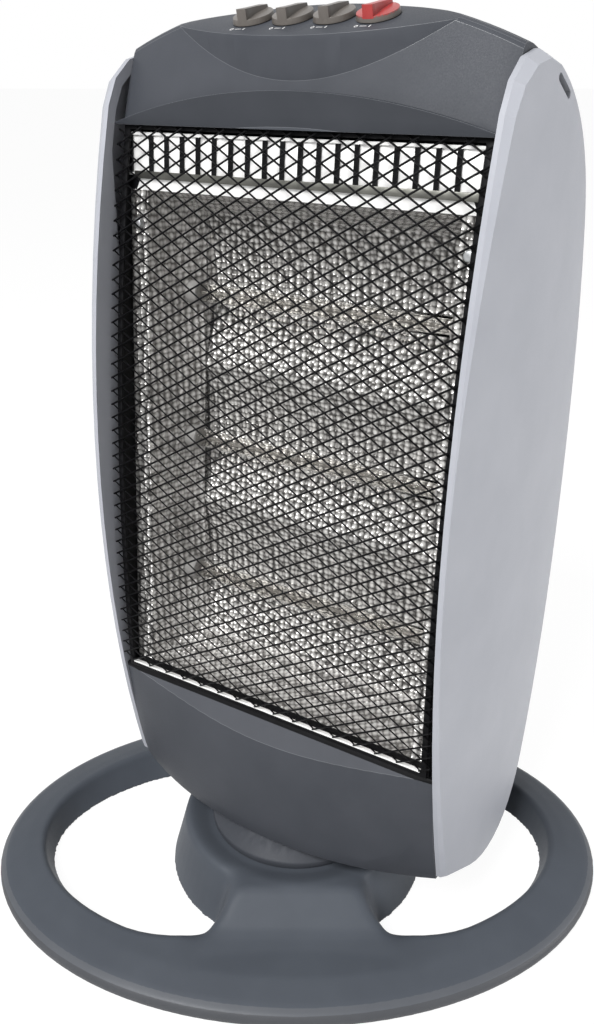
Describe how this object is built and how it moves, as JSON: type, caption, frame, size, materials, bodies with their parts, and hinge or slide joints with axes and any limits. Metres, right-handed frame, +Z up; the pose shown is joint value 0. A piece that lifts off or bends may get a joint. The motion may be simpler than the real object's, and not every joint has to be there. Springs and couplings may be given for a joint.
{
  "type": "halogen heater",
  "caption": "Oscillating halogen heater: a turning head with quartz lamps, reflector and wire guard on an oval base, with rotary switches on top.",
  "frame": {"origin": "On the floor below the middle of the oval base, on the axis that the head swings about", "axes": "+Z up along the swing axis, +X along the oval base's length, -Y its front; the head is stored turned 33 degrees from straight ahead, to its own right"},
  "size_m": [0.4, 0.3143, 0.5219],
  "materials": {
    "base_plastic": "dark blue-grey satin moulding",
    "cover_plastic": "dark matt moulding",
    "slate_plastic": "dark slate satin moulding",
    "silver_plastic": "silver-grey painted moulding",
    "taupe_plastic": "taupe moulding",
    "red_plastic": "red moulding",
    "nylon": "natural nylon",
    "black_steel": "black enamel",
    "zinc_steel": "galvanised",
    "mirror_aluminium": "hammered bright sheet",
    "quartz": "clear quartz",
    "tungsten": "wound wire",
    "steatite": "unglazed ceramic",
    "rubber": "black rubber"
  },
  "bodies": {
    "base": {"base_shell": "base_plastic", "base_cover": "cover_plastic", "foot_front_left": "rubber", "foot_front_right": "rubber", "foot_back_left": "rubber", "foot_back_right": "rubber", "pivot_bearing": "nylon", "swing_motor": "zinc_steel", "tip_switch": "cover_plastic"},
    "head": {"swing_arm": "zinc_steel", "pedestal": "cover_plastic", "head_floor": "cover_plastic", "side_left": "silver_plastic", "side_right": "silver_plastic", "hood": "slate_plastic", "lower_panel": "slate_plastic", "rear_cover": "slate_plastic", "cable_inlet": "rubber", "chassis_left": "black_steel", "chassis_right": "black_steel", "heat_shield": "zinc_steel", "reflector": "mirror_aluminium", "vent_comb": "black_steel", "guard_frame": "black_steel", "guard_mesh": "black_steel", "guard_buttons": "zinc_steel", "lamp_tubes": "quartz", "lamp_filaments": "tungsten", "lamp_caps": "steatite", "thermal_cutout": "steatite", "terminal_block": "nylon", "switch_swing": "cover_plastic", "switch_heat_1": "cover_plastic", "switch_heat_2": "cover_plastic", "switch_heat_3": "cover_plastic"},
    "plunger": {"tip_plunger": "nylon"},
    "crank": {"motor_crank": "nylon"},
    "link": {"drive_link": "zinc_steel"},
    "knob_swing": {"knob_swing": "taupe_plastic"},
    "knob_heat_1": {"knob_heat_1": "taupe_plastic"},
    "knob_heat_2": {"knob_heat_2": "taupe_plastic"},
    "knob_heat_3": {"knob_heat_3": "red_plastic"}
  },
  "joints": [
    {"name": "head_swing", "type": "hinge", "parent": "base", "child": "head", "pos_m": [0, 0, 0.03], "axis": [0, 0, 1], "range_deg": [-7, 73]},
    {"name": "crank_turn", "type": "hinge", "parent": "base", "child": "crank", "pos_m": [-0.024, 0.042, 0.018], "axis": [0, 0, 1], "continuous": true},
    {"name": "link_turn", "type": "hinge", "parent": "head", "child": "link", "pos_m": [-0.02013, 0.01307, 0.0236], "axis": [0, 0, 1], "range_deg": [-73, 7]},
    {"name": "plunger_slide", "type": "slide", "parent": "base", "child": "plunger", "axis": [0, 0, 1], "range_m": [-0.004, 0], "stiffness_N_per_m": 40, "springref_m": -0.005},
    {"name": "knob_swing_turn", "type": "hinge", "parent": "head", "child": "knob_swing", "pos_m": [-0.02175, 0.03261, 0.5143], "axis": [-0.1863, -0.2868, 0.9397], "range_deg": [0, 90]},
    {"name": "knob_heat_1_turn", "type": "hinge", "parent": "head", "child": "knob_heat_1", "pos_m": [-0.00162, 0.01954, 0.5143], "axis": [-0.1863, -0.2868, 0.9397], "range_deg": [0, 90]},
    {"name": "knob_heat_2_turn", "type": "hinge", "parent": "head", "child": "knob_heat_2", "pos_m": [0.01851, 0.00646, 0.5143], "axis": [-0.1863, -0.2868, 0.9397], "range_deg": [0, 90]},
    {"name": "knob_heat_3_turn", "type": "hinge", "parent": "head", "child": "knob_heat_3", "pos_m": [0.03863, -0.00661, 0.5143], "axis": [-0.1863, -0.2868, 0.9397], "range_deg": [0, 90]}
  ],
  "couplings": [
    {"joint": "link_turn", "follows": "head_swing", "ratio": -1}
  ]
}
